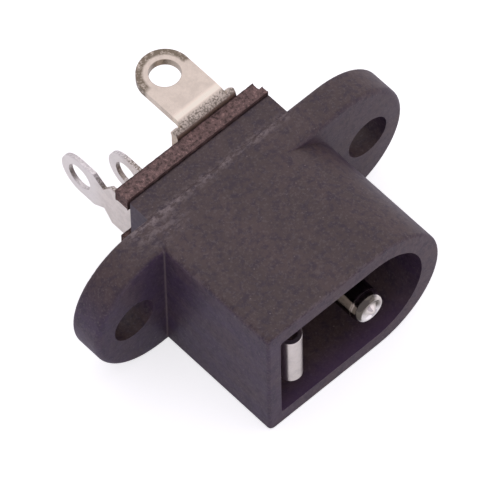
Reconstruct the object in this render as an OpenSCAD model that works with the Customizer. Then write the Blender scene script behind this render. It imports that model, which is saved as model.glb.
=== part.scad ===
// Panel-mount DC barrel jack for a 2.1 x 5.5 mm plug, with a flange, two screw ears and solder lugs.
// The origin is on the contact pin's axis, at the flange's front face.
// The nose points to -Y, the solder lugs to +Y, the nose's flat end to -X and +Z is up.

/* [Nose] */
// Height of nose and flange
nose_height = 9; // [8.6:0.1:9.8]
// From the pin's axis to the nose's flat end
nose_flat = 7.35; // [7.1:0.05:8]
// From the pin's axis to the tip of the nose's round end
nose_round = 5.2; // [5:0.05:5.8]
// From the flange's front face to the rim
nose_depth = 8.1; // [7.6:0.1:10]
// Radius of the two long corners beside the flat end
nose_corner_r = 0.4; // [0.25:0.05:0.8]
// Rounding of the rim's outer edge
rim_edge_r = 0.2; // [0.1:0.05:0.24]

/* [Cavity] */
// Wall at the flat end
flat_wall = 0.9; // [0.7:0.05:1]
// Wall above and below
side_wall = 1.1; // [0.9:0.05:1.3]
// Wall at the round end
round_wall = 1.3; // [1.15:0.05:1.4]
// Radius of the cavity's two long corners
cavity_corner_r = 0.2; // [0.1:0.05:0.4]
// Wall between the cavity and the rear plate
web_t = 2; // [1.6:0.1:2.4]
// Height of the rib that backs the spring's blade
rib_height = 2.6; // [2:0.1:3.4]
// Thickness of that rib
rib_t = 0.78; // [0.7:0.02:0.9]
// From the rim to the rib's front end
rib_setback = 1.3; // [1.1:0.1:3]

/* [Flange] */
// Length over both ears
flange_length = 22.5; // [22.2:0.1:25]
// Thickness of the flange
flange_t = 2.1; // [1.8:0.1:2.6]
// Rounding of the ears' front edge
flange_front_r = 0.35; // [0.2:0.05:0.5]
// Rounding of the ears' rear edge
flange_rear_r = 0.25; // [0.1:0.05:0.4]
// Diameter of the two screw holes
screw_hole_d = 2.8; // [2.2:0.1:3]
// Distance between the screw holes' centres
screw_spacing = 17.2; // [17:0.1:17.8]

/* [Rear block] */
// Depth of the block behind the flange
block_depth = 1.5; // [1.2:0.1:2.5]
// How far its top and bottom lie below the flange's
block_step = 0.1; // [0.05:0.05:0.3]
// How far its left side lies inside the nose's flat end
block_inset = 0.7; // [0.5:0.05:0.75]
// From the pin's axis to its right side
block_right = 3.5; // [3.2:0.1:4]
// Depth and width of the shadow groove in front of the plate
groove = 0.1; // [0.05:0.05:0.2]

/* [Rear plate] */
// Thickness of the phenolic plate
plate_t = 1; // [0.8:0.1:1.4]
// How far the plate stands out past the block's top and sides
plate_proud = 0.1; // [0.05:0.05:0.3]
// Height of the horn above the left notch
horn_height = 1; // [0.8:0.1:1.3]
// How far the notch's floor lies below the pin's axis
notch_drop = 0.1; // [0.05:0.05:0.4]
// How far the lower horn stops short of the upper one
horn_setback = 0.25; // [0.1:0.05:0.4]
// Length of the lip that the shears left at the right end
shear_lip = 0.25; // [0.1:0.05:0.4]

/* [Centre pin] */
// Diameter of the contact pin
pin_d = 2; // [1.8:0.05:2.1]
// How far its tip stands out past the rim
pin_proud = 0.4; // [0.2:0.05:0.6]
// Height of the domed tip
tip_height = 0.85; // [0.6:0.05:0.95]
// Diameter of the collar that seats on the web
collar_d = 3.4; // [2.8:0.1:3.8]
// Thickness of the collar
collar_t = 0.8; // [0.5:0.1:1.2]
// Diameter of the riveted shank
shank_d = 1.5; // [1.3:0.05:1.6]
// Diameter of the rivet head
rivet_d = 2.6; // [2.3:0.1:3.2]
// Height of the rivet head
rivet_height = 0.6; // [0.4:0.05:0.8]

/* [Pin terminal] */
// Sheet thickness
tab_sheet = 0.5; // [0.4:0.05:0.6]
// Width of the upright plate
upright_w = 4.3; // [4.1:0.1:4.8]
// Width of the solder tab, which its round end follows
tab_w = 3.2; // [2.8:0.1:3.3]
// Height of the tab's top face over the pin's axis
tab_rise = 5.3; // [5.1:0.05:5.8]
// How far the shoulders end below the tab's top face
shoulder_drop = 0.15; // [0.1:0.05:0.3]
// Inner radius of the bend
tab_bend_r = 0.3; // [0.2:0.05:0.5]
// Width of the relief notches beside the tab
relief_w = 0.15; // [0.1:0.05:0.2]
// From the upright plate's rear face to the centre of the solder hole
tab_reach = 2.86; // [2.7:0.02:3.6]
// Diameter of the solder hole
tab_hole_d = 1.8; // [1.4:0.1:2]

/* [Sleeve spring] */
// Sheet thickness of the spring and of the switch contact
spring_t = 0.3; // [0.2:0.05:0.35]
// Height of the blade inside the cavity
blade_height = 3.7; // [3.6:0.1:4.2]
// Inner radius of the fold at the front
fold_r = 0.37; // [0.3:0.01:0.5]
// From the rim to the front of the fold
fold_setback = 0.2; // [0.1:0.05:0.6]
// Angle at which the arm leaves the blade
arm_out_angle = 35; // [30:1:38]
// Length of the arm's first straight
arm_run = 2.9; // [2.6:0.05:3.1]
// Middle radius of the knee that rubs on the plug
knee_r = 1.6; // [1.2:0.05:1.8]
// Angle at which the arm returns from the knee
arm_back_angle = 28; // [24:1:34]
// Middle radius of the bend in front of the arm's tip
tip_bend_r = 0.8; // [0.5:0.05:1]
// Length of the straight tip
tip_run = 1.4; // [1.1:0.1:1.5]

/* [Switch contact] */
// From the spring's blade to the switch contact, left face to left face
contact_pitch = 1.95; // [1.8:0.05:2.05]
// Height of the contact's blade in front of its shoulders
contact_height = 2.8; // [2.2:0.1:3.2]
// Length of the shouldered part that seats on the web
contact_root = 0.8; // [0.5:0.1:1.1]

/* [Solder lugs] */
// Height of both lugs where they leave the plate
lug_height = 3.4; // [3.2:0.1:3.5]
// Height of the neck between its two V notches
neck_height = 1.8; // [1.6:0.1:2.2]
// Length of the neck's steep side
neck_drop = 0.6; // [0.4:0.05:0.8]
// Length of the neck's long side
neck_rise = 0.8; // [0.6:0.05:1]
// Straight length of the eye before its round end
eye_run = 1.15; // [0.9:0.05:1.3]
// Radius of the eye
eye_r = 1.45; // [1.3:0.05:1.6]
// Diameter of the eye's solder hole
eye_hole_d = 1.7; // [1.4:0.1:1.8]
// From the plate's rear face to the centre of the spring's eye
spring_reach = 4.25; // [4:0.05:5.5]
// From the plate's rear face to the centre of the switch contact's eye
contact_reach = 2.6; // [2.6:0.05:3.4]

/* [Clearances] */
// Between the rib and the blade
rib_gap = 0.02; // [0.01:0.01:0.1]
// Around a sheet that passes through the web or the plate
slot_gap = 0.04; // [0.02:0.01:0.1]
// Around the riveted shank
shank_gap = 0.02; // [0.01:0.01:0.05]
// Between the arm's tip and the switch contact, at rest
touch_gap = 0.03; // [0.01:0.01:0.1]
// From the spring's blade to the notch's inner end
notch_gap = 0.15; // [0.1:0.05:0.25]
// From the arm's last bend to the switch contact's front end
lap_gap = 0.1; // [0.05:0.05:0.2]

/* [Hidden] */
$fn = 96;

// Depth of an overcut past a face
cut = 0.5;
// How far a strip's straights run into its bends, so that they fuse
lap = 0.03;

// Stations along Y, from the rim to the terminal's rear face
rim_y = -nose_depth;
body_y = flange_t / 2;
block_y = flange_t + block_depth;
web_y = block_y - web_t;
plate_y = block_y + plate_t;
upright_y = plate_y + tab_sheet;

// Places across X
nose_half = nose_height / 2;
nose_centre_x = nose_round - nose_half;
middle_x = (nose_round - nose_flat) / 2;
ear_centre = flange_length / 2 - nose_half;
cavity_left = -nose_flat + flat_wall;
cavity_half = nose_half - side_wall;
cavity_centre_x = nose_round - round_wall - cavity_half;
block_left = -nose_flat + block_inset;
plate_left = block_left - plate_proud;
plate_right = block_right + plate_proud;
blade_left = cavity_left + rib_t + rib_gap;
blade_x = blade_left + spring_t / 2;
contact_left = blade_left + contact_pitch;

// The arm's path: its fold, its knee and the straight that brings its tip beside the switch contact
fold_mid_r = fold_r + spring_t / 2;
fold_y = rim_y + fold_setback + fold_mid_r + spring_t / 2;
arm_x = blade_x + fold_mid_r * (1 + cos(arm_out_angle)) + arm_run * sin(arm_out_angle);
knee_end_x = arm_x + knee_r * (cos(arm_back_angle) - cos(arm_out_angle));
tip_x = contact_left - touch_gap - spring_t / 2;
back_run = (knee_end_x - tip_x - tip_bend_r * (1 - cos(arm_back_angle))) / sin(arm_back_angle);
arm_y = fold_y - fold_mid_r * sin(arm_out_angle) + arm_run * cos(arm_out_angle);
knee_end_y = arm_y + knee_r * (sin(arm_out_angle) + sin(arm_back_angle));
tip_y = knee_end_y + back_run * cos(arm_back_angle) + tip_bend_r * sin(arm_back_angle);

// Solder eyes
spring_eye_y = plate_y + spring_reach;
contact_eye_y = plate_y + contact_reach;
tab_eye_y = upright_y + tab_reach;

// A flat outline in X and Z, given thickness from y0 to y1
module along_y(y0, y1) {
    translate([0, y1, 0]) rotate([90, 0, 0]) linear_extrude(y1 - y0) children();
}

// A flat outline in Y and Z, given thickness from x0 to x1
module along_x(x0, x1) {
    translate([x0, 0, 0]) rotate([90, 0, 90]) linear_extrude(x1 - x0) children();
}

// A flat outline in X and Y, given thickness from z0 to z1
module along_z(z0, z1) {
    translate([0, 0, z0]) linear_extrude(z1 - z0) children();
}

// The waste outside a rounded corner at the origin, whose material lies towards +X and +Y
module corner_waste(r) {
    difference() {
        translate([-cut, -cut]) square(r + cut);
        translate([r, r]) circle(r);
    }
}

// Section of a slab from y0 to y1 in Y and Z, with rounded front and rear edges
module slab_section(half, y0, y1, front_r, rear_r) {
    difference() {
        translate([y0, -half]) square([y1 - y0, 2 * half]);
        for (side = [0, 1]) mirror([0, side]) {
            if (front_r > 0) translate([y0, -half]) corner_waste(front_r);
            if (rear_r > 0) translate([y1, -half]) mirror([1, 0]) corner_waste(rear_r);
        }
    }
}

// The same slab turned about an axis along Y
module slab_disc(half, y0, y1, front_r, rear_r) {
    rotate([-90, 0, 0]) rotate_extrude() intersection() {
        mirror([1, -1]) slab_section(half, y0, y1, front_r, rear_r);
        translate([0, y0 - cut]) square([half + cut, y1 - y0 + 2 * cut]);
    }
}

// D outline in X and Z: flat with two rounded corners at the left, a half circle at the right
module d_outline(left, centre, half, corner_r) {
    translate([centre, 0]) circle(half);
    translate([left + corner_r, -half]) square([centre - left - corner_r, 2 * half]);
    translate([left, corner_r - half]) square([corner_r, 2 * (half - corner_r)]);
    for (side = [-1, 1]) translate([left + corner_r, side * (half - corner_r)]) circle(corner_r);
}

// The nose's outside: a round end, straight walls, the flat end and its two corner posts
module nose_solid() {
    translate([nose_centre_x, 0, 0]) slab_disc(nose_half, rim_y, body_y, rim_edge_r, 0);
    along_x(nose_corner_r - nose_flat, nose_centre_x) slab_section(nose_half, rim_y, body_y, rim_edge_r, 0);
    along_z(nose_corner_r - nose_half, nose_half - nose_corner_r) difference() {
        translate([-nose_flat, rim_y]) square([nose_corner_r, body_y - rim_y]);
        translate([-nose_flat, rim_y]) corner_waste(rim_edge_r);
    }
    for (side = [-1, 1]) translate([nose_corner_r - nose_flat, 0, side * (nose_half - nose_corner_r)])
        slab_disc(nose_corner_r, rim_y, body_y, rim_edge_r, 0);
}

// The flange, with two half-round ears
module flange_solid() {
    along_x(middle_x - ear_centre, middle_x + ear_centre)
        slab_section(nose_half, 0, flange_t, flange_front_r, flange_rear_r);
    for (side = [-1, 1]) translate([middle_x + side * ear_centre, 0, 0])
        slab_disc(nose_half, 0, flange_t, flange_front_r, flange_rear_r);
}

// Outline of the block behind the flange, drawn in by an inset all round
module block_outline(inset) {
    half = nose_half - block_step - inset;
    translate([block_left + inset, -half]) square([block_right - block_left - 2 * inset, 2 * half]);
}

// Slot for a sheet whose left face is at x, through the web or the plate
module sheet_slot(x) {
    translate([x - slot_gap, -lug_height / 2 - slot_gap])
        square([spring_t + 2 * slot_gap, lug_height + 2 * slot_gap]);
}

// What passes through the web and the plate: two sheets and the shank
module passages() {
    sheet_slot(blade_left);
    sheet_slot(contact_left);
    circle(d = shank_d + 2 * shank_gap);
}

// One black moulding: nose, flange, rear block, cavity and the rib behind the spring
module housing() {
    color("#3a3437") {
        difference() {
            union() {
                nose_solid();
                flange_solid();
                along_y(body_y, block_y - groove) block_outline(0);
                along_y(body_y, block_y) block_outline(groove);
            }
            along_y(rim_y - cut, web_y) d_outline(cavity_left, cavity_centre_x, cavity_half, cavity_corner_r);
            along_y(web_y - cut, block_y + cut) passages();
            for (side = [-1, 1]) translate([middle_x + side * screw_spacing / 2, 0, 0])
                along_y(-cut, flange_t + cut) circle(d = screw_hole_d);
        }
        along_y(rim_y + rib_setback, web_y) translate([cavity_left - flat_wall / 2, -rib_height / 2])
            square([flat_wall / 2 + rib_t, rib_height]);
    }
}

// The sheared plate: a notch at the left for the spring's lug, and a lip along its right end
module rear_plate() {
    top = nose_half - block_step + 2 * plate_proud;
    foot = block_step - nose_half;
    notch_top = top - horn_height;
    notch_x = blade_left + spring_t + notch_gap;
    color("#6b4a45") difference() {
        union() {
            along_y(block_y, plate_y) translate([plate_left, foot])
                square([plate_right - shear_lip - plate_left, top - foot]);
            along_y(block_y, block_y + plate_t / 2) translate([plate_left, foot])
                square([plate_right - plate_left, top - foot]);
        }
        along_y(block_y - cut, plate_y + cut) {
            passages();
            translate([plate_left - cut, -notch_drop])
                square([notch_x - plate_left + cut, notch_top + notch_drop]);
            translate([plate_left - cut, foot - cut]) square([horn_setback + cut, notch_top - foot + cut]);
        }
    }
}

// Turned pin: domed tip, stem, collar, and a shank riveted over at the rear
module centre_pin() {
    apex_y = rim_y - pin_proud;
    stem_y = apex_y + tip_height;
    dome_r = (pow(pin_d / 2, 2) + pow(tip_height, 2)) / (2 * tip_height);
    rivet_r = (pow(rivet_d / 2, 2) + pow(rivet_height, 2)) / (2 * rivet_height);
    color("#c9c6c1") rotate([-90, 0, 0]) {
        translate([0, 0, stem_y]) cylinder(d = pin_d, h = web_y - collar_t - stem_y);
        translate([0, 0, web_y - collar_t]) cylinder(d = collar_d, h = collar_t);
        translate([0, 0, web_y]) cylinder(d = shank_d, h = upright_y - web_y);
        rotate_extrude() intersection() {
            translate([0, apex_y + dome_r]) circle(dome_r);
            translate([0, apex_y]) square([pin_d, tip_height]);
        }
        rotate_extrude() intersection() {
            translate([0, upright_y + rivet_height - rivet_r]) circle(rivet_r);
            translate([0, upright_y]) square([rivet_d, rivet_height]);
        }
    }
}

// Stamped terminal under the rivet: a round-footed upright, two shoulders and a tab bent back with an eye
module pin_terminal() {
    bend_z = tab_rise - tab_sheet - tab_bend_r;
    shoulder_w = (upright_w - tab_w) / 2 - relief_w;
    color("#cfcac6") {
        difference() {
            along_y(plate_y, upright_y) {
                circle(d = upright_w);
                translate([-upright_w / 2, 0]) square([upright_w, bend_z - relief_w]);
                translate([-tab_w / 2, 0]) square([tab_w, bend_z]);
                for (side = [-1, 1]) translate([side * (upright_w - shoulder_w) / 2 - shoulder_w / 2, 0])
                    square([shoulder_w, tab_rise - shoulder_drop]);
            }
            along_y(plate_y - cut, upright_y + cut) circle(d = shank_d + 2 * shank_gap);
        }
        translate([-tab_w / 2, upright_y + tab_bend_r, bend_z]) rotate([90, 0, 90]) rotate(90)
            rotate_extrude(angle = 90) translate([tab_bend_r, 0]) square([tab_sheet, tab_w]);
        along_z(tab_rise - tab_sheet, tab_rise) difference() {
            union() {
                translate([-tab_w / 2, upright_y + tab_bend_r]) square([tab_w, tab_reach - tab_bend_r]);
                translate([0, tab_eye_y]) circle(d = tab_w);
            }
            translate([0, tab_eye_y]) circle(d = tab_hole_d);
        }
    }
}

// Outline of a sheet in Y and Z: a shouldered root in front of the web, a body through web and plate, and a
// lug with a V-notched neck and a round eye
module lug_outline(front_y, eye_y) {
    eye_start = eye_y - eye_run;
    neck_y = eye_start - neck_rise;
    body_end = neck_y - neck_drop;
    difference() {
        union() {
            translate([front_y, -blade_height / 2]) square([web_y - front_y, blade_height]);
            translate([eye_y, 0]) circle(eye_r);
            polygon([
                [web_y, -lug_height / 2],
                [body_end, -lug_height / 2],
                [neck_y, -neck_height / 2],
                [eye_start, -eye_r],
                [eye_y, -eye_r],
                [eye_y, eye_r],
                [eye_start, eye_r],
                [neck_y, neck_height / 2],
                [body_end, lug_height / 2],
                [web_y, lug_height / 2]
            ]);
        }
        translate([eye_y, 0]) circle(d = eye_hole_d);
    }
}

// A sheet strip on edge that starts along +X and follows its steps:
// [length] runs straight on, [middle radius, angle] bends, to the left where the angle is positive
module strip(steps, sheet, height, i = 0) {
    if (i < len(steps) && len(steps[i]) == 1) {
        run = steps[i][0];
        translate([-lap, -sheet / 2, -height / 2]) cube([run + 2 * lap, sheet, height]);
        translate([run, 0, 0]) strip(steps, sheet, height, i + 1);
    }
    if (i < len(steps) && len(steps[i]) == 2) {
        r = steps[i][0];
        angle = steps[i][1];
        side = sign(angle);
        translate([0, side * r, 0]) {
            rotate(-90 * side) mirror([0, side < 0 ? 1 : 0, 0])
                rotate_extrude(angle = abs(angle)) translate([r - sheet / 2, -height / 2]) square([sheet, height]);
            rotate(angle) translate([0, -side * r, 0]) strip(steps, sheet, height, i + 1);
        }
    }
}

// Stamped spring: lug, blade on its rib, fold behind the rim, and the arm that comes back to the switch contact
module sleeve_spring() {
    tail_y = spring_eye_y + eye_r;
    color("#d6d3d0") intersection() {
        translate([blade_x, tail_y, 0]) rotate(-90) strip([
            [tail_y - fold_y],
            [fold_mid_r, 180 - arm_out_angle],
            [arm_run],
            [knee_r, arm_out_angle + arm_back_angle],
            [back_run],
            [tip_bend_r, -arm_back_angle],
            [tip_run]
        ], spring_t, blade_height);
        along_x(cavity_left, 0) lug_outline(rim_y, spring_eye_y);
    }
}

// Stamped switch contact that the arm's tip rests beside while no plug is in
module switch_contact() {
    color("#d6d3d0") along_x(contact_left, contact_left + spring_t) {
        lug_outline(web_y - contact_root, contact_eye_y);
        translate([tip_y + lap_gap, -contact_height / 2])
            square([web_y - tip_y - lap_gap, contact_height]);
    }
}

housing();
rear_plate();
centre_pin();
pin_terminal();
sleeve_spring();
switch_contact();
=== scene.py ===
import math

import bmesh
import bpy
from mathutils import Matrix, Vector


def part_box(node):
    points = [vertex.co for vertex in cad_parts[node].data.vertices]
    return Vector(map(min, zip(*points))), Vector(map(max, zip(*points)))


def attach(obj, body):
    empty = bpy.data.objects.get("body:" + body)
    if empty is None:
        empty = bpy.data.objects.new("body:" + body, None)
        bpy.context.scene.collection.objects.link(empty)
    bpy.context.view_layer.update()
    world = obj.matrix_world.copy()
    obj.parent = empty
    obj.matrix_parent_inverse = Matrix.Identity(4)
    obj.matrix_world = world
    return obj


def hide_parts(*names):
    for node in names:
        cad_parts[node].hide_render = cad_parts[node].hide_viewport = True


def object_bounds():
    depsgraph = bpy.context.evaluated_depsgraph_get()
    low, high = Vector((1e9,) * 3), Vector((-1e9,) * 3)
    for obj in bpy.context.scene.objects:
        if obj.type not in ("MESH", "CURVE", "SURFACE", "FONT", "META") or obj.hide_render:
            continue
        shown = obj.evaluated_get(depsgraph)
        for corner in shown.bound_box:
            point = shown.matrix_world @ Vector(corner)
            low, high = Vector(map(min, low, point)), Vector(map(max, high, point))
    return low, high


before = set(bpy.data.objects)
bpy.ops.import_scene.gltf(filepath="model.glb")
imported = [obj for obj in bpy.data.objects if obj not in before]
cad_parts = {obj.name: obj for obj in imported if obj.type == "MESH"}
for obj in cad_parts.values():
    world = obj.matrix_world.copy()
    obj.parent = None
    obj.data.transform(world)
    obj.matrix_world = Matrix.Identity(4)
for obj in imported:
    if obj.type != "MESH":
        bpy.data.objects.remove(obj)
CAD_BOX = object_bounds()

bl_info = {
    "name": "Barrel jack finish",
    "version": (1, 0, 0),
    "blender": (4, 5, 0),
    "location": "3D View > Sidebar > Barrel jack",
    "description": "Finishes a flanged barrel jack's moulding, plate, pin and contacts, and sets its stage",
    "category": "Object",
}

MM = 0.001
BODY = "root"

# How much the floor glows to the eye, and in what the plating mirrors.
SEEN_GLOW = 0.68
MIRRORED_GLOW = 0.19

# Meshes are welded at WELD, flat facets under FLAT_ANGLE are joined, and edges over SHARP_ANGLE stay sharp.
WELD = 0.001 * MM
FLAT_ANGLE = math.radians(0.5)
SHARP_ANGLE = math.radians(30)

# Places on the object in millimetres, read from the frame's boxes.
HOUSING_LOW, HOUSING_HIGH = (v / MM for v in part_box("housing"))
PLATE_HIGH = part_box("rear_plate")[1] / MM
TAB_LOW, TAB_HIGH = (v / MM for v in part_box("pin_terminal"))
PIN_LOW, PIN_HIGH = (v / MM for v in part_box("centre_pin"))
SPRING_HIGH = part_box("sleeve_spring")[1] / MM

TOP_Z = HOUSING_HIGH.z
RIM_Y = HOUSING_LOW.y
# Places and a size that no box gives.
FLANGE_REAR_Y = 2.1
NOSE_FLAT_X = -7.35
TAB_EYE_R = 1.6
TAB_EYE_Y = TAB_HIGH.y - TAB_EYE_R

# Where the moulding is rubbed, in millimetres: along the flange's rear edge, and in a patch by the left ear.
RUB_Y, RUB_REACH = FLANGE_REAR_Y - 0.2, 0.5
RUB_FADES_IN = (-9.2, -7.6)
RUB_FADES_OUT = (4.2, 3.0)
EAR_PATCH_X, EAR_PATCH_REACH_X = -6.6, 2.6
EAR_PATCH_Y, EAR_PATCH_REACH_Y = 1.2, 1.4

# On the moulding, in millimetres: painted light on its front grows to the right, and painted light falls on
# its mouth low down by the rim.
FRONT_LIGHT_GROWS = (-9.0, -3.0)
MOUTH_LIGHT_LOW = (-1.4, -3.6)
MOUTH_DEPTH = 1.8

# Rings round the terminal's eye, in millimetres: the stain's inner edge and the wall of the bore.
STAIN_RING = (1.12, 1.3)
BORE_RING = (0.95, 0.9)
BORE_HEIGHT = (TAB_HIGH.z - 0.9, TAB_HIGH.z - 0.7)

# Bands along the terminal, in millimetres: torn over the bend, then a painted highlight behind it.
TORN_ENDS = (TAB_LOW.y + 0.62, TAB_LOW.y + 0.4)
TORN_TOP = (TAB_HIGH.z - 0.55, TAB_HIGH.z - 0.4)
BEND_HIGHLIGHT_STARTS = (TAB_LOW.y + 0.56, TAB_LOW.y + 0.68)
BEND_HIGHLIGHT_ENDS = (TAB_LOW.y + 1.15, TAB_LOW.y + 0.85)

# Along the pin, in millimetres: where the tip's painted reflection and painted shade end, the dull seam, and
# the painted shade on the stem up to the rivet head.
TIP_ENDS = (PIN_LOW.y + 0.9, PIN_LOW.y + 0.7)
SEAM_Y, SEAM_REACH = PIN_LOW.y + 0.87, 0.07
SHADED_STEM_STARTS = (PIN_LOW.y + 0.75, PIN_LOW.y + 1.0)
SHADED_STEM_ENDS = (PIN_HIGH.y - 0.7, PIN_HIGH.y - 1.0)

# Round the pin's axis, in millimetres: the groove and the start of the shoulder, which get painted shade.
GROOVE_RADIUS, GROOVE_REACH = 0.54, 0.24
SHOULDER_RING = (0.66, 0.8)

# Along the spring's lugs, in millimetres: a painted highlight grows along them, and their eyes are stained.
LUG_HIGHLIGHT_GROWS = (SPRING_HIGH.y - 3.6, SPRING_HIGH.y - 2.4)
EYE_STAIN = (SPRING_HIGH.y - 1.2, SPRING_HIGH.y)

# The plastics' refraction, the tone of clean tin, the painted highlight on the tin lugs, and the painted
# reflection on the nickel tip.
PLASTIC_IOR = 1.5
CLEAN_TIN = (0.95, 0.93, 0.92)
TIN_HIGHLIGHT = (0.99, 0.97, 0.95)
NICKEL_TIP_REFLECTION = (0.99, 0.96, 0.93)

# Meshes: segments of a full turn and of a small corner, rounds of refining, and steps of a bevel.
TURN_STEPS = 48
CORNER_STEPS = 6
REFINE_ROUNDS = 12
BEVEL_STEPS = 2
# The tip's rings crowd towards its side by a power, and the last is a small share of its radius.
TIP_CROWDING = 0.8
TIP_LAST_RING = 0.02

# Lamps stand LAMP_DISTANCE from the origin, in metres.
LAMP_DISTANCE = 0.34
SOFTBOX_FROM, SOFTBOX_SIZE = Vector((0.36, 0.41, 0.84)), 0.62
FILL_FROM, FILL_SIZE = Vector((0.62, -0.75, 0.3)), 0.3
FILL_COLOUR = (1.0, 0.96, 1.0)
WHITE = (1.0, 1.0, 1.0, 1.0)

# The floor's half width in metres and its finish.
FLOOR_HALF = 1.5
FLOOR_ROUGHNESS = 0.9

# The camera's sensor in millimetres, and how near and far it sees in metres.
SENSOR_WIDTH = 36.0
CLIP_START, CLIP_END = 0.01, 10.0


class Value:
    """A shader number that can be written in sums and products."""

    def __init__(self, shader, socket):
        self.shader = shader
        self.socket = socket

    def maths(self, operation, first, second=None):
        inputs = {0: first}
        if second is not None:
            inputs[1] = second
        node = self.shader.node("ShaderNodeMath", {"operation": operation}, inputs)
        return Value(self.shader, node.outputs[0])

    def __add__(self, other):
        return self.maths("ADD", self, other)

    def __radd__(self, other):
        return self.maths("ADD", other, self)

    def __sub__(self, other):
        return self.maths("SUBTRACT", self, other)

    def __mul__(self, other):
        return self.maths("MULTIPLY", self, other)

    def __abs__(self):
        return self.maths("ABSOLUTE", self)

    def __pow__(self, other):
        return self.maths("POWER", self, other)

    def between(self, low, high):
        """0 at low, 1 at high, smooth in between; low may be the larger."""
        settings = {"interpolation_type": "SMOOTHSTEP"}
        node = self.shader.node("ShaderNodeMapRange", settings, {0: self, 1: low, 2: high})
        return Value(self.shader, node.outputs[0])

    def near(self, centre, reach):
        """1 at centre, fading to 0 at reach from it."""
        return abs(self - centre).between(reach, 0.0)


class Shader:
    """A material on a Principled shader, with its place on the object in millimetres."""

    def __init__(self, name):
        self.material = bpy.data.materials.new(name)
        self.material.use_nodes = True
        self.tree = self.material.node_tree
        self.surface = self.tree.nodes["Principled BSDF"]
        coords = self.node("ShaderNodeTexCoord")
        scale = (1 / MM, 1 / MM, 1 / MM)
        mapping = self.node("ShaderNodeMapping", {}, {"Vector": coords.outputs["Object"], "Scale": scale})
        self.place = mapping.outputs[0]
        split = self.node("ShaderNodeSeparateXYZ", {}, {0: self.place})
        self.x, self.y, self.z = (Value(self, out) for out in split.outputs)
        facing = self.node("ShaderNodeNewGeometry")
        split = self.node("ShaderNodeSeparateXYZ", {}, {0: facing.outputs["Normal"]})
        self.facing_x, self.facing_y, self.facing_z = (Value(self, out) for out in split.outputs)

    def node(self, kind, settings=None, inputs=None):
        node = self.tree.nodes.new(kind)
        for key, value in (settings or {}).items():
            setattr(node, key, value)
        for key, value in (inputs or {}).items():
            self.feed(node.inputs[key], value)
        return node

    def feed(self, socket, value):
        if isinstance(value, Value):
            value = value.socket
        if isinstance(value, bpy.types.NodeSocket):
            self.tree.links.new(value, socket)
        else:
            socket.default_value = value

    def noise(self, per_mm, detail=4.0, roughness=0.55, stretch=(1, 1, 1), shift=0.0):
        """Noise with so many features to the millimetre, each axis stretched by a factor."""
        scale = tuple(per_mm / s for s in stretch)
        place = self.node("ShaderNodeMapping", {}, {"Vector": self.place, "Scale": scale,
                                                    "Location": (shift, 2 * shift, -shift)})
        inputs = {"Vector": place.outputs[0], "Scale": 1.0, "Detail": detail, "Roughness": roughness}
        return Value(self, self.node("ShaderNodeTexNoise", {}, inputs).outputs[0])

    def cells(self, per_mm, shift=0.0):
        """Distance to the nearest of scattered points, so many to the millimetre."""
        place = self.node("ShaderNodeMapping", {}, {"Vector": self.place, "Location": (shift, shift, shift)})
        node = self.node("ShaderNodeTexVoronoi", {}, {"Vector": place.outputs[0], "Scale": per_mm})
        return Value(self, node.outputs["Distance"])

    def blend(self, factor, first, second):
        """A colour between two, by a mask."""
        def colour(value):
            return (*value, 1.0) if isinstance(value, (tuple, list)) and len(value) == 3 else value
        inputs = {0: factor, 6: colour(first), 7: colour(second)}
        node = self.node("ShaderNodeMix", {"data_type": "RGBA", "clamp_factor": True}, inputs)
        return node.outputs[2]

    def finish(self, colour, roughness, height, depth, **constants):
        """Joins colour, roughness and a bump of the given height in metres to the surface."""
        self.feed(self.surface.inputs["Base Color"], colour)
        self.feed(self.surface.inputs["Roughness"], roughness)
        bump = self.node("ShaderNodeBump", {}, {"Strength": 1.0, "Distance": depth, "Height": height})
        self.feed(self.surface.inputs["Normal"], bump.outputs[0])
        for key, value in constants.items():
            self.surface.inputs[key.replace("_", " ")].default_value = value
        return self.material


def shade(colour, factor):
    """A colour made lighter or darker."""
    return tuple(channel * factor for channel in colour)


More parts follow.
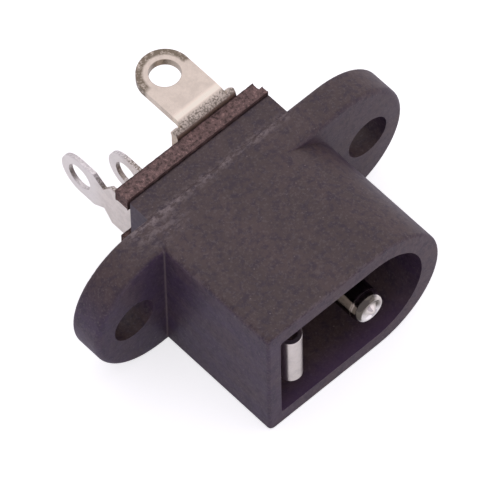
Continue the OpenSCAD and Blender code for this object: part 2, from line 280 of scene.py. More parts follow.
def moulding_material(look):
    """Black moulded plastic: mottled by its flow, finely grained, pale where its proud edges are rubbed, with
    painted shade on its upright faces, painted light on its front and low in its mouth, and a painted
    highlight on a fillet.
    """
    s = Shader("Black moulding")
    top, side, scuff = tuple(look.top_colour), tuple(look.shaded_side_colour), tuple(look.scuff_colour)
    flow = s.noise(0.55, 5.0, 0.6, (1.0, 2.2, 1.0))
    mottle = s.noise(2.4, 5.0, 0.65, shift=3.0)
    grain = s.noise(7.0, 3.0, 0.6)
    # The top and side colours are lit and shaded copies of one black: upright faces get painted shade, and
    # faces that look up or back keep the top colour.
    upward = s.facing_z.between(0.2, 0.9)
    turned_away = s.facing_y.between(0.3, 0.9)
    base = s.blend(upward + turned_away, side, top)
    # Painted light on the faces that look forward, growing towards the right.
    front = s.facing_y.between(-0.3, -0.9) * s.x.between(*FRONT_LIGHT_GROWS)
    base = s.blend(front * 0.8, base, tuple(look.front_light_colour))
    base = s.blend(flow.between(0.38, 0.68) * 0.5, base, shade(top, 1.5))
    base = s.blend(mottle.between(0.44, 0.66) * 0.6, base, shade(side, 0.5))
    base = s.blend(grain.between(0.5, 0.68) * 0.35, base, shade(scuff, 0.55))

    ragged = s.noise(3.2, 6.0, 0.75, (1.6, 1.0, 1.0), shift=7.0).between(0.44, 0.6)
    rear_edge = s.y.near(RUB_Y, RUB_REACH) * s.z.between(TOP_Z - 0.35, TOP_Z - 0.05)
    rear_edge = rear_edge * s.x.between(*RUB_FADES_IN) * s.x.between(*RUB_FADES_OUT)
    ear_patch = s.x.near(EAR_PATCH_X, EAR_PATCH_REACH_X) * s.y.near(EAR_PATCH_Y, EAR_PATCH_REACH_Y)
    ear_patch = ear_patch * s.z.between(TOP_Z - 0.3, TOP_Z)
    front_edge = s.y.near(RIM_Y, 0.28) * (abs(s.z) - TOP_Z).between(-0.3, 0.0) * 0.5
    corner_edge = s.x.near(NOSE_FLAT_X, 0.35) * s.z.between(TOP_Z - 0.5, TOP_Z)
    corner_edge = corner_edge * s.y.between(0.4, -0.4) * 0.45
    rub = (rear_edge + ear_patch * 0.8 + front_edge + corner_edge) * ragged * look.scuffs
    # A painted highlight along the fillet at the nose's flat end.
    fillet_highlight = s.x.near(NOSE_FLAT_X - 0.03, 0.12) * s.y.near(0.0, 0.1) * 0.5
    dust_size = s.noise(1.1, 2.0, 0.5, shift=11.0).between(0.45, 0.7)
    dust = s.cells(2.6, 5.0).between(0.14, 0.05) * dust_size * 0.5
    base = s.blend(rub * 0.85 + fillet_highlight, base, scuff)
    base = s.blend(dust, base, shade(scuff, 1.25))

    # Painted light on the upward-facing inner faces of the mouth, low down near the rim.
    near_rim = s.y.between(RIM_Y + MOUTH_DEPTH, RIM_Y)
    mouth = s.z.between(*MOUTH_LIGHT_LOW) * s.facing_z.between(-0.1, 0.4) * near_rim
    base = s.blend(mouth * 0.6, base, shade(side, 1.9))
    roughness = look.roughness + (flow - 0.5) * 0.16 + (mottle - 0.5) * 0.14 + rub * 0.18
    height = grain * 0.35 + mottle * 0.8 + flow * 1.2 + ragged * rub * 0.6
    return s.finish(base, roughness, height, look.grain_depth, IOR=PLASTIC_IOR)


def phenolic_material(look):
    """Brown paper phenolic: speckled and rough where it was sheared, darker and smoother on its faces."""
    s = Shader("Brown phenolic plate")
    sheared = abs(s.facing_y).between(0.75, 0.35)
    blotch = s.noise(1.6, 5.0, 0.65)
    speck = s.noise(4.2, 5.0, 0.8, (1.0, 1.2, 1.0), shift=2.0)
    fibre = s.noise(5.0, 4.0, 0.6, (3.0, 0.5, 3.0), shift=5.0)
    edge_colour = tuple(look.edge_colour)
    base = s.blend(sheared, tuple(look.face_colour), edge_colour)
    base = s.blend(blotch.between(0.4, 0.72) * 0.6, base, shade(edge_colour, 1.5))
    base = s.blend(speck.between(0.51, 0.59) * 0.85, base, shade(edge_colour, 0.3))
    base = s.blend(speck.between(0.46, 0.36) * sheared * 0.8, base, shade(edge_colour, 2.6))
    roughness = 0.62 + speck * 0.25
    height = speck * 1.1 * sheared + fibre * 0.6 + blotch * 0.5
    return s.finish(base, roughness, height, look.bump_depth, IOR=PLASTIC_IOR)


def plated_noise(s):
    """Slow unevenness and fine rolling marks of plated sheet."""
    cloud = s.noise(1.6, 6.0, 0.7)
    fine = s.noise(5.0, 5.0, 0.8, (1.0, 1.2, 1.0), shift=4.0)
    return cloud, fine


def terminal_material(look):
    """Tin-plated terminal: a stained band round its eye, a crazed bend and torn, speckled edges, a painted
    highlight over the bend and painted shade on its front face.
    """
    s = Shader("Tinned terminal")
    clean, stained = tuple(look.tab_colour), tuple(look.stain_colour)
    cloud, fine = plated_noise(s)
    from_eye = (s.x ** 2.0 + (s.y - TAB_EYE_Y) ** 2.0) ** 0.5
    stain_edge = cloud * 0.5 - 0.25
    far_side = (s.y - TAB_EYE_Y + abs(s.x) * 0.25 + stain_edge * 0.4).between(0.0, 0.35)
    stain = (from_eye + stain_edge * 0.15).between(*STAIN_RING) * far_side
    bore_wall = from_eye.between(*BORE_RING) * s.z.between(*BORE_HEIGHT)
    torn_noise = s.noise(8.0, 4.0, 0.75, shift=9.0)
    torn_band = s.y.between(*TORN_ENDS) * s.z.between(*TORN_TOP)
    torn = torn_band * torn_noise.between(0.44, 0.57)
    # A painted highlight across the top of the bend.
    bend_highlight = s.y.between(*BEND_HIGHLIGHT_STARTS) * s.y.between(*BEND_HIGHLIGHT_ENDS)
    # Painted shade on the upright's front face, with a painted reflection of the dark housing.
    front_face_shade = s.facing_y.between(-0.6, -0.9) * s.y.between(TAB_LOW.y + 0.1, TAB_LOW.y)
    base = s.blend(cloud.between(0.4, 0.62) * 0.6, clean, shade(clean, 0.84))
    base = s.blend(fine.between(0.5, 0.65) * 0.35, base, shade(clean, 1.15))
    base = s.blend(stain * fine.between(0.32, 0.52), base, shade(stained, 0.68))
    base = s.blend(bore_wall * 0.55, base, shade(stained, 0.8))
    base = s.blend(bend_highlight * 0.9, base, shade(clean, 1.3))
    base = s.blend(torn * 0.75, base, shade(stained, 0.5))
    base = s.blend(front_face_shade * 0.8, base, shade(stained, 0.55))
    roughness = look.roughness + cloud * 0.1 + fine * 0.08 + stain * 0.12 + torn_band * 0.2
    height = cloud * 0.8 + fine * 0.25 + torn_noise * torn_band * 3.0
    return s.finish(base, roughness, height, look.bump_depth, Metallic=1.0)


def spring_material(look):
    """Tin-plated spring sheet: bright faces, a painted highlight on the lugs, darker sheared edges above and
    below.
    """
    s = Shader("Tinned spring sheet")
    clean, stained = tuple(look.colour), tuple(look.stain_colour)
    cloud, fine = plated_noise(s)
    speck = s.noise(10.0, 3.0, 0.7, shift=6.0)
    cut_edge = abs(s.facing_x).between(0.5, 0.2) * s.y.between(PLATE_HIGH.y - 0.2, PLATE_HIGH.y)
    eye_stain = s.y.between(*EYE_STAIN) * cloud.between(0.45, 0.65)
    base = s.blend(cloud.between(0.4, 0.62) * 0.6, clean, shade(clean, 0.8))
    base = s.blend(fine.between(0.5, 0.65) * 0.3, base, CLEAN_TIN)
    base = s.blend(cut_edge * speck.between(0.4, 0.58) * 0.9, base, shade(stained, 0.6))
    base = s.blend(eye_stain * 0.25, base, stained)
    # A painted highlight on the lugs, growing towards their ends.
    eyes = s.y.between(*LUG_HIGHLIGHT_GROWS)
    base = s.blend(eyes * 0.6, base, TIN_HIGHLIGHT)
    roughness = look.roughness + cloud * 0.12 + fine * 0.08 + cut_edge * 0.15
    height = cloud * 0.9 + fine * 0.25 + speck * cut_edge * 0.8
    return s.finish(base, roughness, height, look.bump_depth, Metallic=1.0)


def pin_material(look):
    """Nickel-plated turned pin: fine lathe rings, a tip with a painted reflection below and painted shade in
    its groove and on its upper shoulder, a dull seam, and painted shade on its stem.
    """
    s = Shader("Turned nickel")
    clean, stained = tuple(look.colour), tuple(look.stain_colour)
    cloud = s.noise(1.2, 4.0, 0.55)
    rings = s.noise(7.0, 2.0, 0.5, (40.0, 1.0, 40.0), shift=8.0)
    seam = s.y.near(SEAM_Y, SEAM_REACH)
    base = s.blend(cloud.between(0.35, 0.7) * 0.4, clean, shade(clean, 0.82))
    base = s.blend(seam * 0.6, base, stained)
    # Painted shade on the stem, which sits in the dark mouth.
    stem = s.y.between(*SHADED_STEM_STARTS) * s.y.between(*SHADED_STEM_ENDS)
    base = s.blend(stem * 0.93, base, shade(stained, 0.22))
    from_axis = (s.x ** 2.0 + s.z ** 2.0) ** 0.5
    tip = s.y.between(*TIP_ENDS)
    # Painted shade in the groove and on the shoulder's upper side.
    groove = from_axis.near(GROOVE_RADIUS, GROOVE_REACH) * (s.z + s.x * 0.35).between(-0.35, 0.15)
    shoulder_shade = from_axis.between(*SHOULDER_RING) * (s.z - s.x * 0.9).between(0.15, 0.65)
    # A painted reflection of the floor on the lower half of the tip.
    base = s.blend(tip * s.z.between(0.1, -0.3), base, NICKEL_TIP_REFLECTION)
    base = s.blend(tip * (groove + shoulder_shade) * 0.92, base, shade(stained, 0.22))
    roughness = look.roughness * 0.4 + cloud * 0.06 + rings * 0.05 + seam * 0.15
    height = rings * 0.5 + cloud * 0.6 - seam * 0.6
    return s.finish(base, roughness, height, look.bump_depth, Metallic=1.0)


def welded_mesh(node, name):
    """A copy of a node's mesh with its facets joined and its sharp edges marked."""
    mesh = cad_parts[node].data.copy()
    mesh.name = name
    bm = bmesh.new()
    bm.from_mesh(mesh)
    bmesh.ops.remove_doubles(bm, verts=bm.verts, dist=WELD)
    bmesh.ops.dissolve_limit(bm, angle_limit=FLAT_ANGLE, verts=bm.verts, edges=bm.edges)
    for face in bm.faces:
        face.smooth = True
    for edge in bm.edges:
        edge.smooth = edge.calc_face_angle(0.0) < SHARP_ANGLE
    bm.to_mesh(mesh)
    bm.free()
    return mesh


def linked(name, mesh):
    obj = bpy.data.objects.new(name, mesh)
    bpy.context.scene.collection.objects.link(obj)
    return obj


def plain_piece(obj, name, material):
    """The object with its modifiers settled into a plain mesh that wears one material."""
    bpy.context.view_layer.update()
    evaluated = obj.evaluated_get(bpy.context.evaluated_depsgraph_get())
    mesh = bpy.data.meshes.new_from_object(evaluated)
    obj.modifiers.clear()
    bpy.data.objects.remove(obj)
    mesh.name = name
    mesh.materials.clear()
    mesh.materials.append(material)
    return linked(name, mesh)


def settle(piece, node):
    """The piece stands for its node, on the one body."""
    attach(piece, BODY)
    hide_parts(node)


def break_edges(obj, width):
    """A fine bevel on every sharp edge."""
    bevel = obj.modifiers.new("Broken edges", "BEVEL")
    bevel.width = width
    bevel.segments = BEVEL_STEPS
    bevel.limit_method = "ANGLE"
    bevel.angle_limit = SHARP_ANGLE
    bevel.harden_normals = True


def dress(node, name, material, edge_width):
    """A node's shape with its edges broken by a fine bevel."""
    obj = linked(name + "_raw", welded_mesh(node, name))
    break_edges(obj, edge_width)
    settle(plain_piece(obj, name, material), node)


def tip_depth(tip, radius):
    """How far behind its apex the tip's surface lies at a radius: a nipple, a groove and a round shoulder."""
    if radius < tip.groove:
        return tip.dip * math.sin(math.pi * radius / (2 * tip.groove)) ** 2
    if radius < tip.crest:
        rise = math.cos(math.pi * (radius - tip.groove) / (tip.crest - tip.groove))
        return (tip.dip + tip.lip + (tip.dip - tip.lip) * rise) / 2
    reach = (radius - tip.crest) / (tip.radius - tip.crest)
    return tip.lip + (tip.shoulder - tip.lip) * (1 - math.sqrt(max(0.0, 1 - reach * reach)))


def turn_tip(mesh, tip):
    """Turns the pin's plain dome into the tip that the lathe leaves."""
    apex = PIN_LOW.y * MM
    bm = bmesh.new()
    bm.from_mesh(mesh)
    bmesh.ops.bisect_plane(
        bm, geom=bm.verts[:] + bm.edges[:] + bm.faces[:], dist=WELD / 10,
        plane_co=(0, apex + tip.cut, 0), plane_no=(0, 1, 0), clear_inner=True)
    ring = [edge for edge in bm.edges if edge.is_boundary]
    for step in range(tip.steps):
        angle = math.pi / 2 * step / (tip.steps - 1)
        radius = tip.radius * max(math.cos(angle) ** TIP_CROWDING, TIP_LAST_RING)
        grown = bmesh.ops.extrude_edge_only(bm, edges=ring)["geom"]
        ring = [item for item in grown if isinstance(item, bmesh.types.BMEdge) and item.is_boundary]
        for vertex in {v for edge in ring for v in edge.verts}:
            away = Vector((vertex.co.x, 0, vertex.co.z)).normalized() * radius
            vertex.co = (away.x, apex + tip_depth(tip, radius), away.z)
    bmesh.ops.edgeloop_fill(bm, edges=ring)
    bmesh.ops.recalc_face_normals(bm, faces=bm.faces)
    for face in bm.faces:
        face.smooth = True
    bm.to_mesh(mesh)
    bm.free()


def arc(centre, radius, start, end, steps):
    """Points along an arc, angles in degrees."""
    angles = [math.radians(start + (end - start) * i / steps) for i in range(steps + 1)]
    return [(centre[0] + radius * math.cos(a), centre[1] + radius * math.sin(a)) for a in angles]


def circle(centre, radius):
    """Points round a circle, none of them twice."""
    return arc(centre, radius, 0, 360, TURN_STEPS)[:-1]


def terminal_blank(sizes, arc_start, tab_start):
    """Outlines of the terminal's flat blank, in X and along the sheet: edge, rivet hole and eye."""
    wide, narrow = TAB_HIGH.x * MM, sizes.tab_width / 2
    shoulder = arc_start + sizes.shoulder_turn * (sizes.bend_radius + sizes.sheet / 2)
    eye = tab_start + TAB_EYE_Y * MM - (TAB_LOW.y * MM + sizes.sheet + sizes.bend_radius)
    corner, nick = sizes.shoulder_round, sizes.relief
    right = arc((wide - corner, shoulder - corner), corner, 0, 90, CORNER_STEPS)
    right += [(narrow + nick, shoulder), (narrow, shoulder - nick)]
    left = [(-x, along) for x, along in reversed(right)]
    foot = arc((0, 0), wide, 180, 360, TURN_STEPS)
    tab_end = arc((0, eye), narrow, 0, 180, TURN_STEPS)
    edge = foot + right + tab_end + left
    return edge, circle((0, 0), sizes.rivet_hole / 2), circle((0, eye), sizes.eye_hole / 2)


def filled_mesh(name, outlines):
    """A flat mesh bounded by the first outline, with the others as holes."""
    curve = bpy.data.curves.new(name, "CURVE")
    curve.dimensions = "2D"
    curve.fill_mode = "BOTH"
    for outline in outlines:
        spline = curve.splines.new("POLY")
        spline.points.add(len(outline) - 1)
        for point, (x, along) in zip(spline.points, outline):
            point.co = (x, along, 0.0, 1.0)
        spline.use_cyclic_u = True
    obj = linked(name, curve)
    bpy.context.view_layer.update()
    evaluated = obj.evaluated_get(bpy.context.evaluated_depsgraph_get())
    mesh = bpy.data.meshes.new_from_object(evaluated)
    bpy.data.objects.remove(obj)
    bm = bmesh.new()
    bm.from_mesh(mesh)
    bmesh.ops.remove_doubles(bm, verts=bm.verts, dist=WELD)
    bm.to_mesh(mesh)
    bm.free()
    return mesh


def bend_terminal(mesh, sizes, arc_start, tab_start):
    """Stands the blank up behind the plate and bends its tab back along +Y."""
    middle = sizes.bend_radius + sizes.sheet / 2
    upright_y = TAB_LOW.y * MM + sizes.sheet / 2
    tab_z = TAB_HIGH.z * MM - sizes.sheet / 2
    for vertex in mesh.vertices:
        x, along, _ = vertex.co
        if along <= arc_start:
            vertex.co = (x, upright_y, along)
        elif along >= tab_start:
            vertex.co = (x, upright_y + middle + along - tab_start, tab_z)
        else:
            turn = (along - arc_start) / middle
            vertex.co = (x, upright_y + middle * (1 - math.cos(turn)), arc_start + middle * math.sin(turn))


def refine(mesh, longest):
    """Splits a mesh's edges until none is longer than the length given."""
    bm = bmesh.new()
    bm.from_mesh(mesh)
    bmesh.ops.triangulate(bm, faces=bm.faces)
    for _ in range(REFINE_ROUNDS):
        edges = [edge for edge in bm.edges if edge.calc_length() > longest]
        if not edges:
            break
        bmesh.ops.subdivide_edges(bm, edges=edges, cuts=1)
        bmesh.ops.triangulate(bm, faces=[face for face in bm.faces if len(face.verts) > 3])
    for face in bm.faces:
        face.smooth = True
    for edge in bm.edges:
        edge.smooth = edge.calc_face_angle(0.0) < SHARP_ANGLE
    bm.to_mesh(mesh)
    bm.free()


def shear_tree(material):
    """Geometry nodes that eat into a plate's surface, deepest on its sheared edges."""
    tree = bpy.data.node_groups.new("Sheared edge", "GeometryNodeTree")
    sockets = tree.interface
    sockets.new_socket("Geometry", in_out="INPUT", socket_type="NodeSocketGeometry")
    depth = sockets.new_socket("Depth", in_out="INPUT", socket_type="NodeSocketFloat")
    grain = sockets.new_socket("Features per metre", in_out="INPUT", socket_type="NodeSocketFloat")
    sockets.new_socket("Geometry", in_out="OUTPUT", socket_type="NodeSocketGeometry")

    def node(kind, settings=None, inputs=None):
        made = tree.nodes.new(kind)
        for key, value in (settings or {}).items():
            setattr(made, key, value)
        for key, value in (inputs or {}).items():
            if isinstance(value, bpy.types.NodeSocket):
                tree.links.new(value, made.inputs[key])
            else:
                made.inputs[key].default_value = value
        return made

    def maths(operation, first, second):
        return node("ShaderNodeMath", {"operation": operation}, {0: first, 1: second}).outputs[0]

    given = node("NodeGroupInput")
    normal = node("GeometryNodeInputNormal").outputs[0]
    across = node("ShaderNodeSeparateXYZ", {}, {0: normal}).outputs["Y"]
    flatness = maths("ABSOLUTE", across, 0.0)
    share = maths("SUBTRACT", 1.0, maths("MULTIPLY", flatness, 0.85))
    noise = node("ShaderNodeTexNoise", {"noise_dimensions": "4D"},
                 {"W": 3.0, "Scale": given.outputs["Features per metre"], "Detail": 4.0, "Roughness": 0.65})
    inward = maths("MULTIPLY", maths("MULTIPLY", noise.outputs[0], share), given.outputs["Depth"])
    reverse = maths("MULTIPLY", inward, -1.0)
    offset = node("ShaderNodeVectorMath", {"operation": "SCALE"}, {0: normal, "Scale": reverse})
    moved = node("GeometryNodeSetPosition", {},
                 {"Geometry": given.outputs["Geometry"], "Offset": offset.outputs[0]})
    real = node("GeometryNodeRealizeInstances", {}, {"Geometry": moved.outputs[0]})
    dressed = node("GeometryNodeSetMaterial", {}, {"Geometry": real.outputs[0], "Material": material})
    node("NodeGroupOutput", {}, {0: dressed.outputs[0]})
    return tree, depth.identifier, grain.identifier


class JackMouldingLook(bpy.types.PropertyGroup):
    """Finish of the black moulding."""

    top_colour: bpy.props.FloatVectorProperty(
        name="Upper colour", description="Colour of the faces that look up", subtype="COLOR",
        default=(0.073, 0.047, 0.044), min=0, max=1)
    # Painted shade: the colour of the upright faces is a shaded copy of the upper colour.
    shaded_side_colour: bpy.props.FloatVectorProperty(
        name="Side colour", description="Colour of the upright faces", subtype="COLOR",
        default=(0.058, 0.032, 0.074), min=0, max=1)
    # Painted light: the colour of the rim and of the ears' front faces.
    front_light_colour: bpy.props.FloatVectorProperty(
        name="Front colour", description="Colour of the rim and of the ears' front faces", subtype="COLOR",
        default=(0.078, 0.045, 0.056), min=0, max=1)
    scuff_colour: bpy.props.FloatVectorProperty(
        name="Scuff colour", description="Colour of rubbed edges", subtype="COLOR",
        default=(0.3, 0.245, 0.235), min=0, max=1)
    scuffs: bpy.props.FloatProperty(
        name="Scuffs", description="How strongly the edges are rubbed", default=0.8, min=0, max=1,
        subtype="FACTOR")
    roughness: bpy.props.FloatProperty(
        name="Roughness", description="Mean surface roughness", default=0.46, min=0, max=1, subtype="FACTOR")
    grain_depth: bpy.props.FloatProperty(
        name="Grain depth", description="Height of the moulded grain", default=0.02 * MM, min=0, max=MM,
        unit="LENGTH", precision=6)
    edge: bpy.props.FloatProperty(
        name="Edge", description="Width of the broken edges", default=0.06 * MM, min=0, max=MM,
        unit="LENGTH", precision=6)


class JackPlateLook(bpy.types.PropertyGroup):
    """Finish of the phenolic plate."""

    face_colour: bpy.props.FloatVectorProperty(
        name="Face colour", description="Colour of the pressed faces", subtype="COLOR",
        default=(0.085, 0.045, 0.04), min=0, max=1)
    edge_colour: bpy.props.FloatVectorProperty(
        name="Edge colour", description="Colour of the sheared edges", subtype="COLOR",
        default=(0.195, 0.122, 0.107), min=0, max=1)
    shear_depth: bpy.props.FloatProperty(
        name="Shear depth", description="How deep the sheared edges are torn", default=0.16 * MM, min=0,
        max=MM, unit="LENGTH", precision=6)
    shear_grain: bpy.props.FloatProperty(
        name="Shear grain", description="Features of the torn edges to the metre", default=1700.0, min=1)
    refine_to: bpy.props.FloatProperty(
        name="Refine to", description="Longest edge of the torn mesh", default=0.16 * MM, min=0.05 * MM,
        max=MM, unit="LENGTH", precision=6)
    bump_depth: bpy.props.FloatProperty(
        name="Bump depth", description="Height of the fine grain", default=0.06 * MM, min=0, max=MM,
        unit="LENGTH", precision=6)


class JackMetalLook(bpy.types.PropertyGroup):
    """Finish of the pin, the terminal and the spring sheet."""

    colour: bpy.props.FloatVectorProperty(
        name="Plating", description="Colour of the clean plating", subtype="COLOR",
        default=(0.94, 0.875, 0.815), min=0, max=1)
    tab_colour: bpy.props.FloatVectorProperty(
        name="Terminal plating", description="Colour of the terminal's clean plating", subtype="COLOR",
        default=(0.83, 0.735, 0.615), min=0, max=1)
    stain_colour: bpy.props.FloatVectorProperty(
        name="Stain", description="Colour where the plating is stained or torn", subtype="COLOR",
        default=(0.36, 0.3, 0.22), min=0, max=1)
    roughness: bpy.props.FloatProperty(
        name="Roughness", description="Least roughness of the plating", default=0.2, min=0, max=1,
        subtype="FACTOR")
    bump_depth: bpy.props.FloatProperty(
        name="Bump depth", description="Height of the plating's unevenness", default=0.012 * MM, min=0,
        max=MM, unit="LENGTH", precision=6)
    edge: bpy.props.FloatProperty(
        name="Edge", description="Width of the broken edges", default=0.035 * MM, min=0, max=MM,
        unit="LENGTH", precision=6)


class JackPinTip(bpy.types.PropertyGroup):
    """Sizes of the contact pin's turned tip."""

    radius: bpy.props.FloatProperty(
        name="Radius", description="Radius of the pin", default=1.0 * MM, min=0, unit="LENGTH", precision=6)
    cut: bpy.props.FloatProperty(
        name="Tip length", description="Length of the turned tip", default=1.0 * MM, min=0, unit="LENGTH",
        precision=6)
    shoulder: bpy.props.FloatProperty(
        name="Shoulder", description="Where the round shoulder meets the side", default=0.85 * MM, min=0,
        unit="LENGTH", precision=6)
    crest: bpy.props.FloatProperty(
        name="Lip radius", description="Radius at the lip's crest", default=0.74 * MM, min=0, unit="LENGTH",
        precision=6)
    lip: bpy.props.FloatProperty(
        name="Lip depth", description="How far the lip lies behind the apex", default=0.22 * MM, min=0,
        unit="LENGTH", precision=6)
    groove: bpy.props.FloatProperty(
        name="Groove radius", description="Radius of the groove round the nipple", default=0.56 * MM, min=0,
        unit="LENGTH", precision=6)
    dip: bpy.props.FloatProperty(
        name="Groove depth", description="How far the groove lies behind the apex", default=0.36 * MM, min=0,
        unit="LENGTH", precision=6)
    steps: bpy.props.IntProperty(
        name="Steps", description="Rings of the tip's mesh", default=28, min=8, max=60)


class JackTerminalSizes(bpy.types.PropertyGroup):
    """Sizes of the pin terminal's bent sheet."""

    sheet: bpy.props.FloatProperty(
        name="Sheet", description="Sheet thickness", default=0.5 * MM, min=0, unit="LENGTH", precision=6)
    bend_radius: bpy.props.FloatProperty(
        name="Bend radius", description="Inner radius of the bend", default=0.3 * MM, min=0, unit="LENGTH",
        precision=6)
    tab_width: bpy.props.FloatProperty(
        name="Tab width", description="Width of the solder tab", default=2 * TAB_EYE_R * MM, min=0,
        unit="LENGTH", precision=6)
    shoulder_turn: bpy.props.FloatProperty(
        name="Shoulder turn", description="How far round the bend the wide shoulders reach",
        default=math.radians(52), subtype="ANGLE")
    shoulder_round: bpy.props.FloatProperty(
        name="Shoulder corner", description="Radius of the shoulders' corners", default=0.12 * MM, min=0,
        unit="LENGTH", precision=6)
    relief: bpy.props.FloatProperty(
        name="Relief", description="Size of the nicks beside the tab", default=0.12 * MM, min=0,
        unit="LENGTH", precision=6)
    rivet_hole: bpy.props.FloatProperty(
        name="Rivet hole", description="Diameter of the rivet hole", default=1.54 * MM, min=0, unit="LENGTH",
        precision=6)
    eye_hole: bpy.props.FloatProperty(
        name="Eye hole", description="Diameter of the solder hole", default=1.8 * MM, min=0, unit="LENGTH",
        precision=6)
    refine_to: bpy.props.FloatProperty(
        name="Refine to", description="Longest edge of the sheet's mesh", default=0.14 * MM, min=0.05 * MM,
        unit="LENGTH", precision=6)


class JackStageLook(bpy.types.PropertyGroup):
    """Floor, lamps and camera."""

    floor_colour: bpy.props.FloatVectorProperty(
        name="Floor", description="Colour of the floor", subtype="COLOR", default=(0.82, 0.82, 0.82),
        min=0, max=1)
    world_colour: bpy.props.FloatVectorProperty(
        name="Surroundings", description="Colour of the light from all round", subtype="COLOR",
        default=(0.5, 0.47, 0.55), min=0, max=1)
    lamp_colour: bpy.props.FloatVectorProperty(
        name="Lamp", description="Colour of the softbox", subtype="COLOR", default=(1.0, 0.95, 0.93),
        min=0, max=1)
    lamp_power: bpy.props.FloatProperty(
        name="Lamp power", description="Power of the softbox in watts", default=0.44, min=0)
    fill_power: bpy.props.FloatProperty(
        name="Fill power", description="Power of the front fill in watts", default=0.12, min=0)
    azimuth: bpy.props.FloatProperty(
        name="Azimuth", description="Camera's bearing round the object", default=math.radians(-41.604),
        subtype="ANGLE")
    elevation: bpy.props.FloatProperty(
        name="Elevation", description="Camera's height over the horizon", default=math.radians(57.13),
        subtype="ANGLE")
    roll: bpy.props.FloatProperty(
        name="Roll", description="Camera's turn about its own axis", default=math.radians(-1.47),
        subtype="ANGLE")
    distance: bpy.props.FloatProperty(
        name="Distance", description="From the camera to the point it looks at", default=402.46 * MM,
        unit="LENGTH")
    aim: bpy.props.FloatVectorProperty(
        name="Aim", description="The point the camera looks at", subtype="TRANSLATION",
        default=(-1.583 * MM, -0.376 * MM, -1.229 * MM), precision=6)
    lens: bpy.props.FloatProperty(
        name="Lens", description="Focal length in millimetres on a 36 mm sensor", default=535.0, min=1)


class JACK_OT_housing(bpy.types.Operator):
    """Finish the black moulding"""

    bl_idname = "jack.housing"
    bl_label = "Housing"

    def execute(self, context):
        look = context.scene.jack_moulding
        dress("housing", "moulded_housing", moulding_material(look), look.edge)
        return {"FINISHED"}


class JACK_OT_plate(bpy.types.Operator):
    """Tear the phenolic plate's sheared edges and finish it"""

    bl_idname = "jack.plate"
    bl_label = "Rear plate"

    def execute(self, context):
        look = context.scene.jack_plate
        material = phenolic_material(look)
        mesh = welded_mesh("rear_plate", "phenolic_plate")
        refine(mesh, look.refine_to)
        obj = linked("phenolic_plate_raw", mesh)
        tree, depth, grain = shear_tree(material)
        modifier = obj.modifiers.new("Sheared edge", "NODES")
        modifier.node_group = tree
        modifier[depth] = look.shear_depth
        modifier[grain] = look.shear_grain
        piece = plain_piece(obj, "phenolic_plate", material)
        if not piece.data.polygons:
            raise RuntimeError("the plate's tree gave no faces")
        settle(piece, "rear_plate")
        return {"FINISHED"}


class JACK_OT_pin(bpy.types.Operator):
    """Finish the turned contact pin"""

    bl_idname = "jack.pin"
    bl_label = "Centre pin"

    def execute(self, context):
        look = context.scene.jack_metal
        mesh = welded_mesh("centre_pin", "turned_pin")
        turn_tip(mesh, context.scene.jack_pin_tip)
        obj = linked("turned_pin_raw", mesh)
        break_edges(obj, look.edge)
        settle(plain_piece(obj, "turned_pin", pin_material(look)), "centre_pin")
        return {"FINISHED"}


class JACK_OT_terminal(bpy.types.Operator):
    """Finish the pin's solder terminal"""

    bl_idname = "jack.terminal"
    bl_label = "Pin terminal"

    def execute(self, context):
        sizes = context.scene.jack_terminal
        middle = sizes.bend_radius + sizes.sheet / 2
        arc_start = TAB_HIGH.z * MM - sizes.sheet / 2 - middle
        tab_start = arc_start + middle * math.pi / 2
        mesh = filled_mesh("tinned_terminal", terminal_blank(sizes, arc_start, tab_start))
        if not mesh.polygons:
            raise RuntimeError("the terminal's blank did not fill")
        refine(mesh, sizes.refine_to)
        bend_terminal(mesh, sizes, arc_start, tab_start)
        obj = linked("tinned_terminal_raw", mesh)
        solid = obj.modifiers.new("Sheet", "SOLIDIFY")
        solid.thickness = sizes.sheet
        solid.offset = 0.0
        piece = plain_piece(obj, "tinned_terminal", terminal_material(context.scene.jack_metal))
        piece.data.set_sharp_from_angle(angle=SHARP_ANGLE)
        settle(piece, "pin_terminal")
        return {"FINISHED"}


class JACK_OT_contacts(bpy.types.Operator):
    """Finish the sleeve spring and the switch contact"""

    bl_idname = "jack.contacts"
    bl_label = "Spring contacts"

    def execute(self, context):
        look = context.scene.jack_metal
        material = spring_material(look)
        dress("sleeve_spring", "folded_spring", material, look.edge)
        dress("switch_contact", "fixed_contact", material, look.edge)
        return {"FINISHED"}


class JACK_OT_stage(bpy.types.Operator):
    """Set the floor, the surroundings, the lamps and the camera"""

    bl_idname = "jack.stage"
    bl_label = "Stage"

    def execute(self, context):
        look = context.scene.jack_stage
        make_floor(look)
        make_world(context.scene, look)
        light_from("Softbox", SOFTBOX_FROM, SOFTBOX_SIZE, look.lamp_power, look.lamp_colour)
        light_from("Front fill", FILL_FROM, FILL_SIZE, look.fill_power, FILL_COLOUR)
        aim_camera(context.scene, look)
        context.scene.view_settings.view_transform = "Standard"
        return {"FINISHED"}


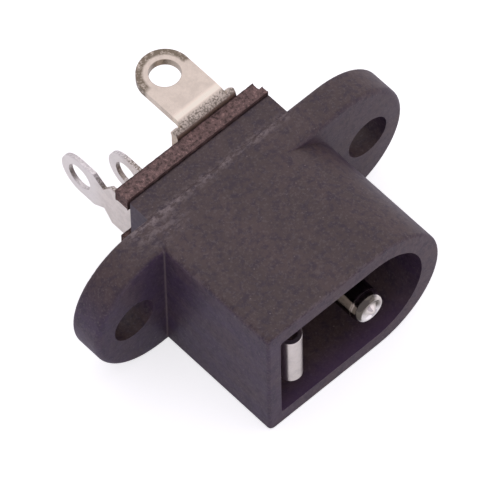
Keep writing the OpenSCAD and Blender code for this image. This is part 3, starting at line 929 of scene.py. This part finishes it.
def make_floor(look):
    """A pale floor under the nose that looks white to the eye and keeps a faint shadow."""
    half, z = FLOOR_HALF, CAD_BOX[0].z
    mesh = bpy.data.meshes.new("floor")
    corners = [(-half, -half, z), (half, -half, z), (half, half, z), (-half, half, z)]
    mesh.from_pydata(corners, [], [(0, 1, 2, 3)])
    floor = linked("floor", mesh)
    material = bpy.data.materials.new("Pale floor")
    material.use_nodes = True
    tree = material.node_tree
    surface = tree.nodes["Principled BSDF"]
    surface.inputs["Base Color"].default_value = (*look.floor_colour, 1.0)
    surface.inputs["Roughness"].default_value = FLOOR_ROUGHNESS
    surface.inputs["Specular IOR Level"].default_value = 0.0
    rays = tree.nodes.new("ShaderNodeLightPath")
    mirrored = tree.nodes.new("ShaderNodeMath")
    mirrored.operation = "MULTIPLY"
    mirrored.inputs[1].default_value = MIRRORED_GLOW
    tree.links.new(rays.outputs["Is Glossy Ray"], mirrored.inputs[0])
    glow = tree.nodes.new("ShaderNodeMath")
    glow.operation = "MULTIPLY_ADD"
    glow.inputs[1].default_value = SEEN_GLOW
    tree.links.new(rays.outputs["Is Camera Ray"], glow.inputs[0])
    tree.links.new(mirrored.outputs[0], glow.inputs[2])
    surface.inputs["Emission Color"].default_value = WHITE
    tree.links.new(glow.outputs[0], surface.inputs["Emission Strength"])
    mesh.materials.append(material)


def make_world(scene, look):
    """Soft grey surroundings that the camera sees as white."""
    world = bpy.data.worlds.new("Surroundings")
    scene.world = world
    world.use_nodes = True
    tree = world.node_tree
    background = tree.nodes["Background"]
    rays = tree.nodes.new("ShaderNodeLightPath")
    mix = tree.nodes.new("ShaderNodeMix")
    mix.data_type = "RGBA"
    mix.inputs[6].default_value = (*look.world_colour, 1.0)
    mix.inputs[7].default_value = WHITE
    tree.links.new(rays.outputs["Is Camera Ray"], mix.inputs[0])
    tree.links.new(mix.outputs[2], background.inputs["Color"])


def light_from(name, direction, size, power, colour):
    """A square area lamp that looks at the origin from a direction."""
    lamp = bpy.data.lights.new(name, "AREA")
    lamp.shape = "SQUARE"
    lamp.size = size
    lamp.energy = power
    lamp.color = colour
    obj = linked(name, lamp)
    direction = direction.normalized()
    obj.location = direction * LAMP_DISTANCE
    obj.rotation_euler = direction.to_track_quat("Z", "Y").to_euler()


def aim_camera(scene, look):
    """Looks at the aim point from an azimuth and an elevation, with a slight roll."""
    a, e = look.azimuth, look.elevation
    back = Vector((math.sin(a) * math.cos(e), -math.cos(a) * math.cos(e), math.sin(e)))
    right = Vector((math.cos(a), math.sin(a), 0.0))
    up = back.cross(right)
    turned_right = right * math.cos(look.roll) + up * math.sin(look.roll)
    turned_up = up * math.cos(look.roll) - right * math.sin(look.roll)
    camera = bpy.data.cameras.new("Camera")
    camera.sensor_width = SENSOR_WIDTH
    camera.lens = look.lens
    camera.clip_start, camera.clip_end = CLIP_START, CLIP_END
    obj = linked("Camera", camera)
    turn = Matrix((turned_right, turned_up, back)).transposed()
    obj.matrix_world = Matrix.Translation(Vector(look.aim) + back * look.distance) @ turn.to_4x4()
    scene.camera = obj


OPERATORS = (
    JACK_OT_housing,
    JACK_OT_plate,
    JACK_OT_pin,
    JACK_OT_terminal,
    JACK_OT_contacts,
    JACK_OT_stage,
)


class JACK_PT_panel(bpy.types.Panel):
    """Steps that finish the barrel jack"""

    bl_idname = "JACK_PT_panel"
    bl_label = "Barrel jack"
    bl_space_type = "VIEW_3D"
    bl_region_type = "UI"
    bl_category = "Barrel jack"

    def draw(self, context):
        for operator in OPERATORS:
            self.layout.operator(operator.bl_idname)


LOOKS = {
    "jack_moulding": JackMouldingLook,
    "jack_plate": JackPlateLook,
    "jack_metal": JackMetalLook,
    "jack_pin_tip": JackPinTip,
    "jack_terminal": JackTerminalSizes,
    "jack_stage": JackStageLook,
}
CLASSES = (*LOOKS.values(), *OPERATORS, JACK_PT_panel)


def register():
    for cls in CLASSES:
        bpy.utils.register_class(cls)
    for name, look in LOOKS.items():
        setattr(bpy.types.Scene, name, bpy.props.PointerProperty(type=look))


def unregister():
    for name in LOOKS:
        delattr(bpy.types.Scene, name)
    for cls in reversed(CLASSES):
        bpy.utils.unregister_class(cls)


def main():
    register()
    bpy.ops.jack.housing()
    bpy.ops.jack.plate()
    bpy.ops.jack.pin()
    bpy.ops.jack.terminal()
    bpy.ops.jack.contacts()
    bpy.ops.jack.stage()


if __name__ == "__main__":
    main()
